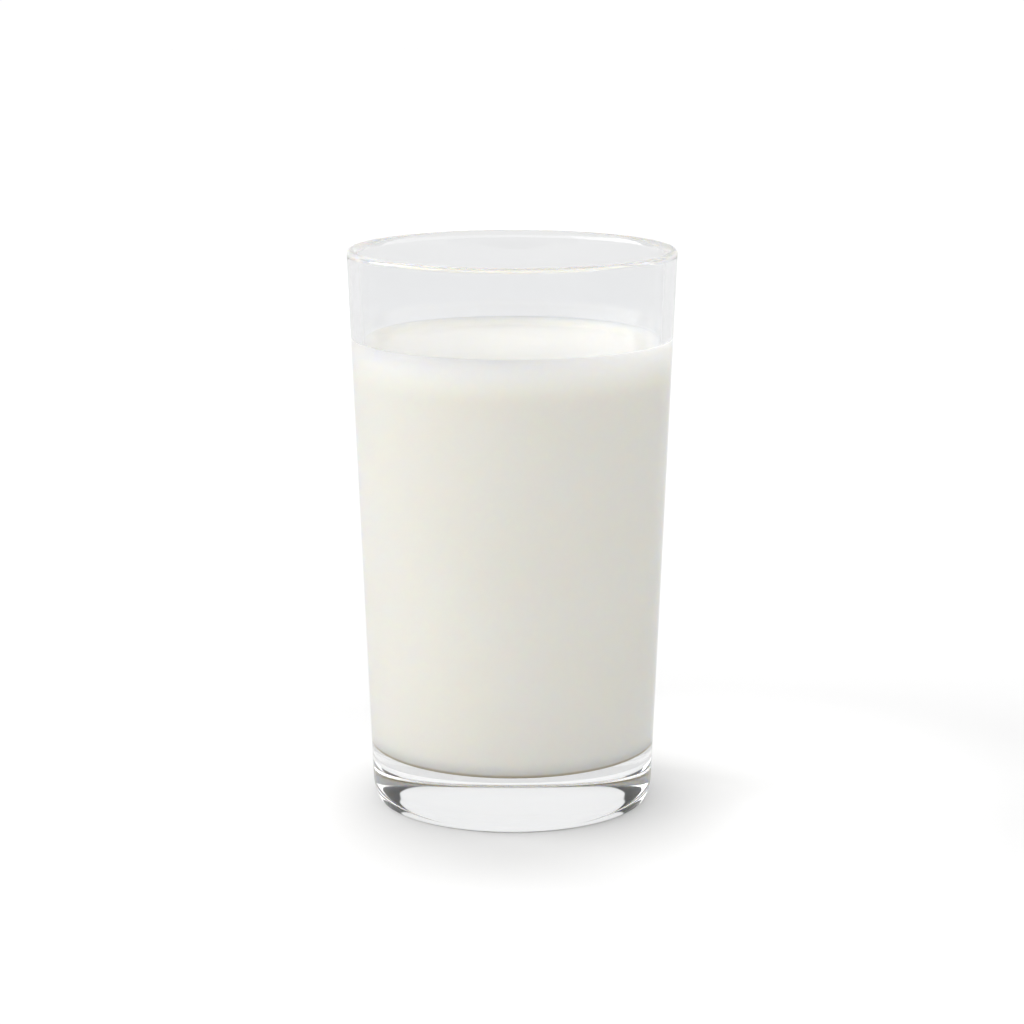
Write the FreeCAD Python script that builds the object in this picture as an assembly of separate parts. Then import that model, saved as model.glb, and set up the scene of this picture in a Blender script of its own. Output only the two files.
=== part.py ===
import FreeCAD, Part
import math
import os

# A plain glass tumbler of milk. Millimetres, +Z up, origin at the centre of
# the underside. The tumbler and the milk are bodies of revolution about Z.

# ---- driving dimensions -------------------------------------------------
height = 120.0          # overall height of the tumbler
rim_diameter = 70.06    # outer diameter just below the rounded rim
taper = 0.0406          # outward lean of the wall, mm of radius per mm of height
wall = 2.5              # wall thickness, square to the wall
rim_outer_radius = 0.85 # rounding of the rim on its outer side
rim_inner_radius = 1.6  # rounding of the rim on its inner side
base_thickness = 11.4   # from the foot to the milk
heel_height = 4.3       # the wall begins to curve in below this height
heel_radius = 8.6       # radius of that curve
corner_radius = 0.8     # small rounding where the heel meets the underside
punt_radius = 25.5      # shallow dome pressed into the underside
punt_depth = 0.75       # how far the dome rises at the centre
floor_radius = 4.0      # rounding between the inner wall and the inner floor
milk_level = 100.0      # height of the flat milk surface
meniscus_rise = 1.2     # how far the milk climbs the wall
meniscus_reach = 9.0    # how far in from the wall the climb begins
meniscus_power = 3.5    # how sharply it steepens towards the wall

os.makedirs("parts", exist_ok=True)

lean = math.atan(taper)
k = math.sqrt(1 + taper * taper)


def V(r, z):
    return FreeCAD.Vector(r, 0, z)


def arc(cr, cz, radius, a0, a1):
    """Arc in the XZ half plane about (cr, cz), angles from +X towards +Z."""
    am = 0.5 * (a0 + a1)
    p = [V(cr + radius * math.cos(a), cz + radius * math.sin(a)) for a in (a0, am, a1)]
    return Part.Arc(p[0], p[1], p[2]).toShape(), p[0], p[2]


def line(a, b):
    return Part.LineSegment(a, b).toShape()


def revolve(edges, name):
    """A solid of revolution about Z from a closed profile in the XZ half plane."""
    face = Part.Face(Part.Wire(edges))
    solid = face.revolve(FreeCAD.Vector(0, 0, 0), FreeCAD.Vector(0, 0, 1), 360)
    if solid.ShapeType != "Solid":
        solid = Part.Solid(solid.Shells[0])
    if solid.Volume < 0:
        solid.reverse()
    solid = solid.removeSplitter()
    if solid.ShapeType != "Solid":
        solid = solid.Solids[0]
    assert solid.isValid() and len(solid.Shells) == 1, name
    return solid


# ---- reference lines of the wall ----------------------------------------
nr, nz = math.cos(lean), -math.sin(lean)  # unit vector out of the wall

rim_r = rim_diameter / 2.0
out_c = (rim_r - rim_outer_radius, height - rim_outer_radius)
p_out = (out_c[0] + rim_outer_radius * nr, out_c[1] + rim_outer_radius * nz)


def outer_at(z):
    """Outer radius of the straight wall at height z."""
    return p_out[0] + taper * (z - p_out[1])


def inner_at(z):
    """Inner radius of the straight wall at height z."""
    return outer_at(z) - wall * k


# Inner rim arc: level at the top of the rim, tangent to the inner wall.
in_cz = height - rim_inner_radius
in_cr = inner_at(in_cz) + rim_inner_radius * k

# Heel arc: leaves the straight wall at heel_height and curves inwards.
heel_cr = outer_at(heel_height) - heel_radius * nr
heel_cz = heel_height - heel_radius * nz

# Corner arc: tangent to the heel arc from inside and to the level z = 0.
drop = corner_radius - heel_cz
corner_cr = heel_cr + math.sqrt((heel_radius - corner_radius) ** 2 - drop * drop)
heel_end = math.atan2(drop, corner_cr - heel_cr)

# Inner floor arc.
floor_cz = base_thickness + floor_radius
floor_cr = inner_at(floor_cz) - floor_radius * k

# ---- tumbler -------------------------------------------------------------
rim_o, ro_a, ro_b = arc(out_c[0], out_c[1], rim_outer_radius, -lean, math.pi / 2)
rim_i, ri_a, ri_b = arc(in_cr, in_cz, rim_inner_radius, math.pi / 2, math.pi - lean)
heel, he_a, he_b = arc(heel_cr, heel_cz, heel_radius, heel_end, -lean)
corner, co_a, co_b = arc(corner_cr, corner_radius, corner_radius, -math.pi / 2, heel_end)
inside, in_a, in_b = arc(floor_cr, floor_cz, floor_radius, -lean, -math.pi / 2)

# Underside: a shallow spherical dome, then a level ring that it stands on.
punt_s = (punt_radius ** 2 + punt_depth ** 2) / (2 * punt_depth)
punt_a = math.asin(punt_radius / punt_s)
dome, do_a, do_b = arc(0.0, punt_depth - punt_s, punt_s, math.pi / 2, math.pi / 2 - punt_a)

edges = [dome, line(do_b, co_a), corner, heel, line(he_b, ro_a), rim_o]
if (ri_a - ro_b).Length > 1e-6:
    edges.append(line(ro_b, ri_a))
edges += [
    rim_i,
    line(ri_b, in_a),
    inside,
    line(in_b, V(0, base_thickness)),
    line(V(0, base_thickness), do_a),
]
glass = revolve(edges, "glass")

# ---- milk ------------------------------------------------------------------
# Fills the tumbler to milk_level and climbs the wall in a small meniscus.
top_z = milk_level + meniscus_rise
wall_top = V(inner_at(top_z), top_z)
steps = 12
climb = [
    V(wall_top.x - meniscus_reach * t, milk_level + meniscus_rise * (1 - t) ** meniscus_power)
    for t in ((i / steps) ** 1.3 for i in range(steps + 1))
]
spline = Part.BSplineCurve()
spline.interpolate(climb)
men, me_a, me_b = spline.toShape(), climb[0], climb[-1]

milk_edges = [
    line(V(0, base_thickness), in_b),
    arc(floor_cr, floor_cz, floor_radius, -math.pi / 2, -lean)[0],
    line(in_a, me_a),
    men,
    line(me_b, V(0, milk_level)),
    line(V(0, milk_level), V(0, base_thickness)),
]
milk = revolve(milk_edges, "milk")

glass.exportStep("parts/glass.step")
milk.exportStep("parts/milk.step")

print("glass volume ml", round(glass.Volume / 1000, 2), "mass g", round(glass.Volume / 1000 * 2.5, 1))
print("milk volume ml", round(milk.Volume / 1000, 2), "mass g", round(milk.Volume / 1000 * 1.03, 1))
print("outer radius at the foot", round(corner_cr, 3))
print("inner radius at the milk level", round(inner_at(milk_level), 3))
print("rim flat", round((ri_a - ro_b).Length, 3))
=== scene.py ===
import math

import bpy
import numpy as np
from mathutils import Matrix, Vector


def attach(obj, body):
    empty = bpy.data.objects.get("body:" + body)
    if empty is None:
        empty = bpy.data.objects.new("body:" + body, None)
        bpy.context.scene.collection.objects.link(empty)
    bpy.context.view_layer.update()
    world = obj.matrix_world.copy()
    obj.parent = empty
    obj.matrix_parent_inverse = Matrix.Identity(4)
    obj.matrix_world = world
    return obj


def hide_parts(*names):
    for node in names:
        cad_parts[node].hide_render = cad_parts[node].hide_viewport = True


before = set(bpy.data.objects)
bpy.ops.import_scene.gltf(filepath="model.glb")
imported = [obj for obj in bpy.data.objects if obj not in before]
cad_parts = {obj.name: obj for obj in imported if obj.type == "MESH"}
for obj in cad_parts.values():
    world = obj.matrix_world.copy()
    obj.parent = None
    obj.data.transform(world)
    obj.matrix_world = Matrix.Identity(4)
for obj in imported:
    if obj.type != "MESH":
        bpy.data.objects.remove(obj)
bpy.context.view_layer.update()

MM = 0.001

# ---- the tumbler's section, in millimetres ----------------------------------
HEIGHT = 120.0
RIM_R = 35.03
TAPER = 0.0406
WALL = 2.5
RIM_OUT = 0.85
RIM_IN = 1.6
BASE = 11.4
HEEL_H = 4.3
HEEL_R = 8.6
CORNER = 0.8
PUNT_R = 25.5
PUNT_D = 0.75
FLOOR_R = 4.0
LEVEL = 100.0
MEN_RISE = 1.2
MEN_REACH = 9.0
MEN_POWER = 3.5

LEAN = math.atan(TAPER)
K = math.sqrt(1 + TAPER * TAPER)
NR, NZ = math.cos(LEAN), -math.sin(LEAN)
OUT_C = (RIM_R - RIM_OUT, HEIGHT - RIM_OUT)
P_OUT = (OUT_C[0] + RIM_OUT * NR, OUT_C[1] + RIM_OUT * NZ)


def outer_at(z):
    return P_OUT[0] + TAPER * (z - P_OUT[1])


def inner_at(z):
    return outer_at(z) - WALL * K


def arc(cr, cz, r, a0, a1, n):
    """Points of an arc."""
    return [
        (cr + r * math.cos(a), cz + r * math.sin(a))
        for a in (a0 + (a1 - a0) * i / n for i in range(n + 1))
    ]


def run(a, b, n):
    return [(a[0] + (b[0] - a[0]) * i / n, a[1] + (b[1] - a[1]) * i / n) for i in range(n + 1)]


def joined(*parts):
    out = []
    for part in parts:
        for p in part:
            if not out or math.hypot(p[0] - out[-1][0], p[1] - out[-1][1]) > 1e-5:
                out.append(p)
    return out


IN_CZ = HEIGHT - RIM_IN
IN_CR = inner_at(IN_CZ) + RIM_IN * K
HEEL_CR = outer_at(HEEL_H) - HEEL_R * NR
HEEL_CZ = HEEL_H - HEEL_R * NZ
DROP = CORNER - HEEL_CZ
CORNER_CR = HEEL_CR + math.sqrt((HEEL_R - CORNER) ** 2 - DROP * DROP)
HEEL_END = math.atan2(DROP, CORNER_CR - HEEL_CR)
FLOOR_CZ = BASE + FLOOR_R
FLOOR_CR = inner_at(FLOOR_CZ) - FLOOR_R * K


def lathe(name, profile, segments, mats, closed_axis=True, rows=None, bump=None):
    """A mesh of revolution about Z. profile runs from axis to axis; its first and last points are on the axis."""
    prof = np.array(profile)
    ring = prof[1:-1]
    ang = np.arange(segments) * (2 * math.pi / segments)
    c, s = np.cos(ang), np.sin(ang)
    rad = np.repeat(ring[:, 0], segments)
    zz = np.repeat(ring[:, 1], segments)
    cc, ss = np.tile(c, len(ring)), np.tile(s, len(ring))
    if bump is not None:
        dr, dz = bump(rad, zz, np.tile(ang, len(ring)))
        rad, zz = rad + dr, zz + dz
    co = np.stack([rad * cc, rad * ss, zz], 1)
    co = np.concatenate([[[0, 0, prof[0, 1]]], co, [[0, 0, prof[-1, 1]]]]) * MM
    faces, tag = [], []
    last = len(co) - 1
    for j in range(segments):
        k = (j + 1) % segments
        faces.append((0, 1 + k, 1 + j))
        tag.append(0)
    for i in range(len(ring) - 1):
        a, b = 1 + i * segments, 1 + (i + 1) * segments
        for j in range(segments):
            k = (j + 1) % segments
            faces.append((a + j, a + k, b + k, b + j))
            tag.append(i + 1)
    a = 1 + (len(ring) - 1) * segments
    for j in range(segments):
        k = (j + 1) % segments
        faces.append((a + j, a + k, last))
        tag.append(len(ring))
    me = bpy.data.meshes.new(name)
    me.from_pydata([tuple(v) for v in co], [], faces)
    for m in mats:
        me.materials.append(m)
    if rows is not None:
        index = np.array([rows(t) for t in range(len(ring) + 1)])
        me.polygons.foreach_set("material_index", index[np.array(tag)])
    me.polygons.foreach_set("use_smooth", [True] * len(faces))
    me.update()
    me.validate()
    o = bpy.data.objects.new(name, me)
    bpy.context.scene.collection.objects.link(o)
    return o


# ---- materials ---------------------------------------------------------------
def new_mat(name):
    m = bpy.data.materials.new(name)
    m.use_nodes = True
    nt = m.node_tree
    nt.nodes.clear()
    out = nt.nodes.new("ShaderNodeOutputMaterial")
    b = nt.nodes.new("ShaderNodeBsdfPrincipled")
    nt.links.new(b.outputs[0], out.inputs["Surface"])
    return m, nt, b, out


def node(nt, kind, **sockets):
    n_ = nt.nodes.new(kind)
    for name, v in sockets.items():
        socket = n_.inputs[name.replace("_", " ")]
        if hasattr(v, "is_output"):
            nt.links.new(v, socket)
        else:
            socket.default_value = v
    return n_


def noise(nt, scale, detail=2.0):
    """Soft noise in the object's own coordinates, which are in metres."""
    at = nt.nodes.new("ShaderNodeTexCoord").outputs["Object"]
    return node(nt, "ShaderNodeTexNoise", Vector=at, Scale=scale, Detail=detail, Roughness=0.5).outputs[0]


def ramp(nt, x, a, b, to_a, to_b):
    """x from a to b, turned smoothly into to_a to to_b."""
    n_ = nt.nodes.new("ShaderNodeMapRange")
    n_.interpolation_type = "SMOOTHSTEP"
    nt.links.new(x, n_.inputs[0])
    for i, v in enumerate((a, b, to_a, to_b)):
        n_.inputs[i + 1].default_value = v
    return n_.outputs[0]


def tint(nt, f, a, b):
    """Colour a where f is 0, b where f is 1."""
    n_ = nt.nodes.new("ShaderNodeMix")
    n_.data_type = "RGBA"
    nt.links.new(f, n_.inputs[0])
    for socket, v in ((n_.inputs[6], a), (n_.inputs[7], b)):
        if isinstance(v, tuple):
            socket.default_value = (*v, 1)
        else:
            nt.links.new(v, socket)
    return n_.outputs[2]


def relief(nt, b, height, strength, distance):
    n_ = node(nt, "ShaderNodeBump", Strength=strength, Distance=distance, Height=height)
    nt.links.new(n_.outputs[0], b.inputs["Normal"])


def glass_material():
    """Clear pressed glass with the faint unevenness of a moulded wall."""
    m, nt, b, out = new_mat("clear_glass")
    cast = ramp(nt, noise(nt, 30.0), 0.3, 0.7, 0.0, 1.0)
    nt.links.new(tint(nt, cast, (0.972, 0.977, 0.981), (0.968, 0.973, 0.979)), b.inputs["Base Color"])
    b.inputs["Transmission Weight"].default_value = 1.0
    b.inputs["Roughness"].default_value = 0.0
    b.inputs["IOR"].default_value = 1.52
    relief(nt, b, noise(nt, 28.0, 1.0), 0.1, 0.0001)
    return m


MILK_COLOUR = (0.908, 0.892, 0.832)
# painted shade: the open surface is the same milk as the side, painted darker to hold down how bright it renders
# under the lamps
SURFACE_SHADED_COLOUR = (0.835, 0.816, 0.748)
SSS_SIDE = 0.005
TAN_PAINTED_SHADE = (0.60, 0.51, 0.34)  # painted shade: the rounded lower edge, darkened to tan where little light comes in
EDGE_PAINTED_LIGHT = (1.0, 0.985, 0.925)  # painted light: the upper edge, paled to stand in for light that comes in from the open surface
UNDER_PAINTED_LIGHT = (0.96, 0.98, 0.99)  # painted light: the flat underside, painted pale and cool to stand in for light seen through the thick base


def milk_material(name, gloss):
    m, nt, b, out = new_mat(name)
    cloud = ramp(nt, noise(nt, 45.0, 3.0), 0.3, 0.7, 0.0, 1.0)
    base = SURFACE_SHADED_COLOUR if gloss else MILK_COLOUR
    body = tint(nt, cloud, base, (base[0] + 0.004, base[1] + 0.006, base[2] + 0.012))
    spread = None
    if not gloss:
        at = nt.nodes.new("ShaderNodeTexCoord").outputs["Object"]
        z = node(nt, "ShaderNodeSeparateXYZ", Vector=at).outputs[2]
        # painted light: the side pales over its top few millimetres towards its upper edge
        body = tint(nt, ramp(nt, z, (LEVEL - 8) * MM, (LEVEL + 1) * MM, 0.0, 1.0), body, EDGE_PAINTED_LIGHT)
        # painted shade: the side darkens to tan at its rounded lower edge
        body = tint(nt, ramp(nt, z, (BASE + 0.3) * MM, (BASE + 1.2) * MM, 1.0, 0.0), body, TAN_PAINTED_SHADE)
        # painted light: the flat underside is painted pale and cool
        body = tint(nt, ramp(nt, z, BASE * MM, (BASE + 0.12) * MM, 1.0, 0.0), body, UNDER_PAINTED_LIGHT)
        spread = ramp(nt, z, (LEVEL - 9) * MM, LEVEL * MM, SSS_SIDE, 0.025)
    nt.links.new(body, b.inputs["Base Color"])
    b.inputs["Subsurface Weight"].default_value = 1.0
    b.inputs["Subsurface Radius"].default_value = (1.0, 0.85, 0.6)
    b.inputs["Subsurface Scale"].default_value = 0.006
    if spread is not None:
        nt.links.new(spread, b.inputs["Subsurface Scale"])
    rough = ramp(nt, noise(nt, 90.0), 0.3, 0.7, *((0.1, 0.15) if gloss else (0.45, 0.55)))
    nt.links.new(rough, b.inputs["Roughness"])
    b.inputs["IOR"].default_value = 1.35
    b.inputs["Specular IOR Level"].default_value = 0.3 if gloss else 0.0
    relief(nt, b, noise(nt, 60.0), 0.1, 0.00015)
    return m


GLASS = glass_material()
MILK_TOP = milk_material("milk_surface", True)
MILK_SIDE = milk_material("milk_in_glass", False)

# ---- the tumbler -------------------------------------------------------------
PUNT_S = (PUNT_R * PUNT_R + PUNT_D * PUNT_D) / (2 * PUNT_D)  # radius of the shallow dome under the base
PUNT_A = math.asin(PUNT_R / PUNT_S)
glass_profile = joined(
    [(0.0, PUNT_D)],
    arc(0.0, PUNT_D - PUNT_S, PUNT_S, math.pi / 2 - PUNT_A / 12, math.pi / 2 - PUNT_A, 11),
    run((PUNT_R + 0.5, 0.0), (CORNER_CR - 0.4, 0.0), 6),
    arc(CORNER_CR, CORNER, CORNER, -math.pi / 2, HEEL_END, 16),
    arc(HEEL_CR, HEEL_CZ, HEEL_R, HEEL_END, -LEAN, 20),
    run((outer_at(HEEL_H + 0.5), HEEL_H + 0.5), (outer_at(HEIGHT - 2.0), HEIGHT - 2.0), 24),
    arc(OUT_C[0], OUT_C[1], RIM_OUT, -LEAN, math.pi / 2, 14),
    arc(IN_CR, IN_CZ, RIM_IN, math.pi / 2, math.pi - LEAN, 18),
    run((inner_at(HEIGHT - 2.6), HEIGHT - 2.6), (inner_at(FLOOR_CZ + 0.5), FLOOR_CZ + 0.5), 24),
    arc(FLOOR_CR, FLOOR_CZ, FLOOR_R, -LEAN, -math.pi / 2, 18),
    run((FLOOR_CR - 0.5, BASE), (6.0, BASE), 5),
    [(0.0, BASE)],
)
glass = lathe("tumbler", glass_profile, 256, [GLASS])
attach(glass, "root")
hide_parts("glass")

# ---- the milk ----------------------------------------------------------------
REACH = 0.08  # how far the milk reaches into the wall
top_z = LEVEL + MEN_RISE
flat_r = inner_at(top_z) - MEN_REACH
men = [
    (inner_at(top_z) - MEN_REACH * t, LEVEL + MEN_RISE * (1 - t) ** MEN_POWER)
    for t in ((i / 40) ** 1.3 for i in range(41))
]
side = joined(
    [(0.0, BASE - REACH)],
    run((6.0, BASE - REACH), (FLOOR_CR - 0.5, BASE - REACH), 5),
    arc(FLOOR_CR, FLOOR_CZ, FLOOR_R + REACH, -math.pi / 2, -LEAN, 18),
    run((inner_at(FLOOR_CZ + 0.5) + REACH, FLOOR_CZ + 0.5), (inner_at(top_z) + REACH, top_z), 24),
)
surface = joined(men, run((flat_r - 1.0, LEVEL), (4.0, LEVEL), 8), [(0.0, LEVEL)])
milk_profile = joined(side, surface)
n_side = len(side) - 1
milk = lathe("milk_fill", milk_profile, 256, [MILK_SIDE, MILK_TOP], rows=lambda t: 0 if t < n_side else 1)
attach(milk, "root")
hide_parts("milk")

# ---- floor --------------------------------------------------------------------
fm, fnt, fb, fout = new_mat("floor")
flp = fnt.nodes.new("ShaderNodeLightPath")
ftone = fnt.nodes.new("ShaderNodeMix")
ftone.data_type = "RGBA"
fnt.links.new(flp.outputs["Is Camera Ray"], ftone.inputs[0])
ftone.inputs[6].default_value = (0.635, 0.635, 0.635, 1)
ftone.inputs[7].default_value = (0.785, 0.785, 0.785, 1)
# painted shadow: a soft dark area painted on the floor in front of the foot, and painted light that pales the
# floor's shade to either side
fgeo = fnt.nodes.new("ShaderNodeTexCoord")


def painted_patch(x, y, inner, outer, tone):
    """Painted shade (tone below 1) or painted light (tone above 1) near the point x, y, and 1 further out than
    outer; all in metres.
    """
    n_ = fnt.nodes.new("ShaderNodeVectorMath")
    n_.operation = "DISTANCE"
    fnt.links.new(fgeo.outputs["Object"], n_.inputs[0])
    n_.inputs[1].default_value = (x, y, 0.0)
    return ramp(fnt, n_.outputs["Value"], inner, outer, tone, 1.0)


def times(a_, b_):
    n_ = fnt.nodes.new("ShaderNodeMath")
    n_.operation = "MULTIPLY"
    fnt.links.new(a_, n_.inputs[0])
    fnt.links.new(b_, n_.inputs[1])
    return n_.outputs[0]


# painted shadow in front of the foot, and painted light on the floor to the right
painted_shadow_and_light = times(painted_patch(0.004, -0.017, 0.018, 0.060, 0.77), painted_patch(0.048, 0.008, 0.015, 0.085, 1.26))
# painted light on the floor to the left
painted_shadow_and_light = times(painted_shadow_and_light, painted_patch(-0.044, 0.004, 0.010, 0.068, 1.13))
fscale = fnt.nodes.new("ShaderNodeVectorMath")
fscale.operation = "SCALE"
fnt.links.new(ftone.outputs[2], fscale.inputs[0])
fnt.links.new(painted_shadow_and_light, fscale.inputs["Scale"])
fnt.links.new(fscale.outputs[0], fb.inputs["Base Color"])
fb.inputs["Roughness"].default_value = 0.9
fb.inputs["Specular IOR Level"].default_value = 0.0
me = bpy.data.meshes.new("floor")
R = 3.0
n = 96
me.from_pydata(
    [(0, 0, -0.00005)] + [(R * math.cos(2 * math.pi * i / n), R * math.sin(2 * math.pi * i / n), -0.00005) for i in range(n)],
    [],
    [(0, 1 + i, 1 + (i + 1) % n) for i in range(n)],
)
me.materials.append(fm)
floor = bpy.data.objects.new("floor", me)
bpy.context.scene.collection.objects.link(floor)

# ---- surroundings -------------------------------------------------------------
world = bpy.data.worlds.new("studio")
bpy.context.scene.world = world
world.use_nodes = True
wt = world.node_tree
wt.nodes.clear()
wout = wt.nodes.new("ShaderNodeOutputWorld")


def wmath(op, a, b=None, c=None, clamp=False):
    n_ = wt.nodes.new("ShaderNodeMath")
    n_.operation = op
    n_.use_clamp = clamp
    for i, v in enumerate((a, b, c)):
        if v is None:
            continue
        if isinstance(v, (int, float)):
            n_.inputs[i].default_value = v
        else:
            wt.links.new(v, n_.inputs[i])
    return n_.outputs[0]


def wstep(x, edge, width):
    """0 below edge, 1 above, with a soft change of this width."""
    n_ = wt.nodes.new("ShaderNodeMapRange")
    n_.interpolation_type = "SMOOTHSTEP"
    wt.links.new(x, n_.inputs[0])
    n_.inputs[1].default_value = edge - width / 2
    n_.inputs[2].default_value = edge + width / 2
    return n_.outputs[0]


tc = wt.nodes.new("ShaderNodeTexCoord")
sep = wt.nodes.new("ShaderNodeSeparateXYZ")
wt.links.new(tc.outputs["Generated"], sep.inputs[0])
X, Y, Z = sep.outputs
az = wmath("MULTIPLY", wmath("ARCTAN2", X, Y), 180 / math.pi)  # 0 behind the glass, + to the right
el = wmath("MULTIPLY", wmath("ARCSINE", Z), 180 / math.pi)
aaz = wmath("ABSOLUTE", az)

# low: what the walls show and mirror; mid and top: what lights the milk
BACK_LOW, FRONT_LOW, SIDE_LOW = 1.0, 0.47, 1.0
BACK, GAP, LEFT, RIGHT, FRONT, LEAN_L, TOP = 0.93, 0.04, 4.3, 1.98, 2.09, 0.66, 0.80


def wmix(f, a, b):
    """a where f is 0, b where f is 1."""
    d = wmath("SUBTRACT", b, a) if not (isinstance(a, (int, float)) and isinstance(b, (int, float))) else b - a
    return wmath("ADD", wmath("MULTIPLY", f, d), a)


right_side = wstep(az, 0.0, 1.0)
side = wmix(right_side, LEFT, RIGHT)
front = wmath("ADD", wmath("MULTIPLY", X, -LEAN_L), FRONT)  # the front is brighter on the left
past_gap, past_side, up = wstep(aaz, 62.0, 3.0), wstep(aaz, 128.0, 4.0), wstep(el, 5.0, 3.0)
low = wmix(past_side, wmix(past_gap, BACK_LOW, SIDE_LOW), FRONT_LOW)
mid = wmix(past_side, wmix(past_gap, BACK, side), front)
L = wmix(up, low, mid)
in_gap = wmath("MULTIPLY", wstep(aaz, 43.0, 2.0), wmath("SUBTRACT", 1.0, past_gap))
in_gap = wmath("MULTIPLY", in_gap, wstep(el, 7.0, 2.0))
L = wmix(in_gap, L, GAP)
L = wmix(wstep(el, 44.0, 14.0), L, TOP)
# below the horizon: only seen past the edge of the floor
lp = wt.nodes.new("ShaderNodeLightPath")
bg = wt.nodes.new("ShaderNodeBackground")
bg.inputs["Color"].default_value = (1, 1, 1, 1)
wt.links.new(wmix(lp.outputs["Is Camera Ray"], L, 1.02), bg.inputs["Strength"])
wt.links.new(bg.outputs[0], wout.inputs["Surface"])

# ---- camera --------------------------------------------------------------------
cam_d = bpy.data.cameras.new("camera")
cam = bpy.data.objects.new("camera", cam_d)
bpy.context.scene.collection.objects.link(cam)
bpy.context.scene.camera = cam
cam_d.sensor_width = 36.0
cam_d.lens = 3031.66 / 1024 * 36
cam_d.clip_start = 0.01
cam_d.clip_end = 50
CAM_D, CAM_H, PITCH, ROLL, X0 = 640.0, 196.446, 0.20568, -0.00044, 0.052
cam.location = (-X0 * MM, -CAM_D * MM, CAM_H * MM)
aim = Matrix.Rotation(math.pi / 2 - PITCH, 4, "X") @ Matrix.Rotation(ROLL, 4, "Z")
cam.rotation_euler = aim.to_euler()

sc = bpy.context.scene
sc.view_settings.view_transform = "Standard"
sc.view_settings.look = "None"
sc.view_settings.exposure = 0
sc.view_settings.gamma = 1
# light runs down the glass wall by many total reflections
sc.cycles.max_bounces = 32
sc.cycles.glossy_bounces = 24
sc.cycles.transmission_bounces = 32
sc.cycles.diffuse_bounces = 5
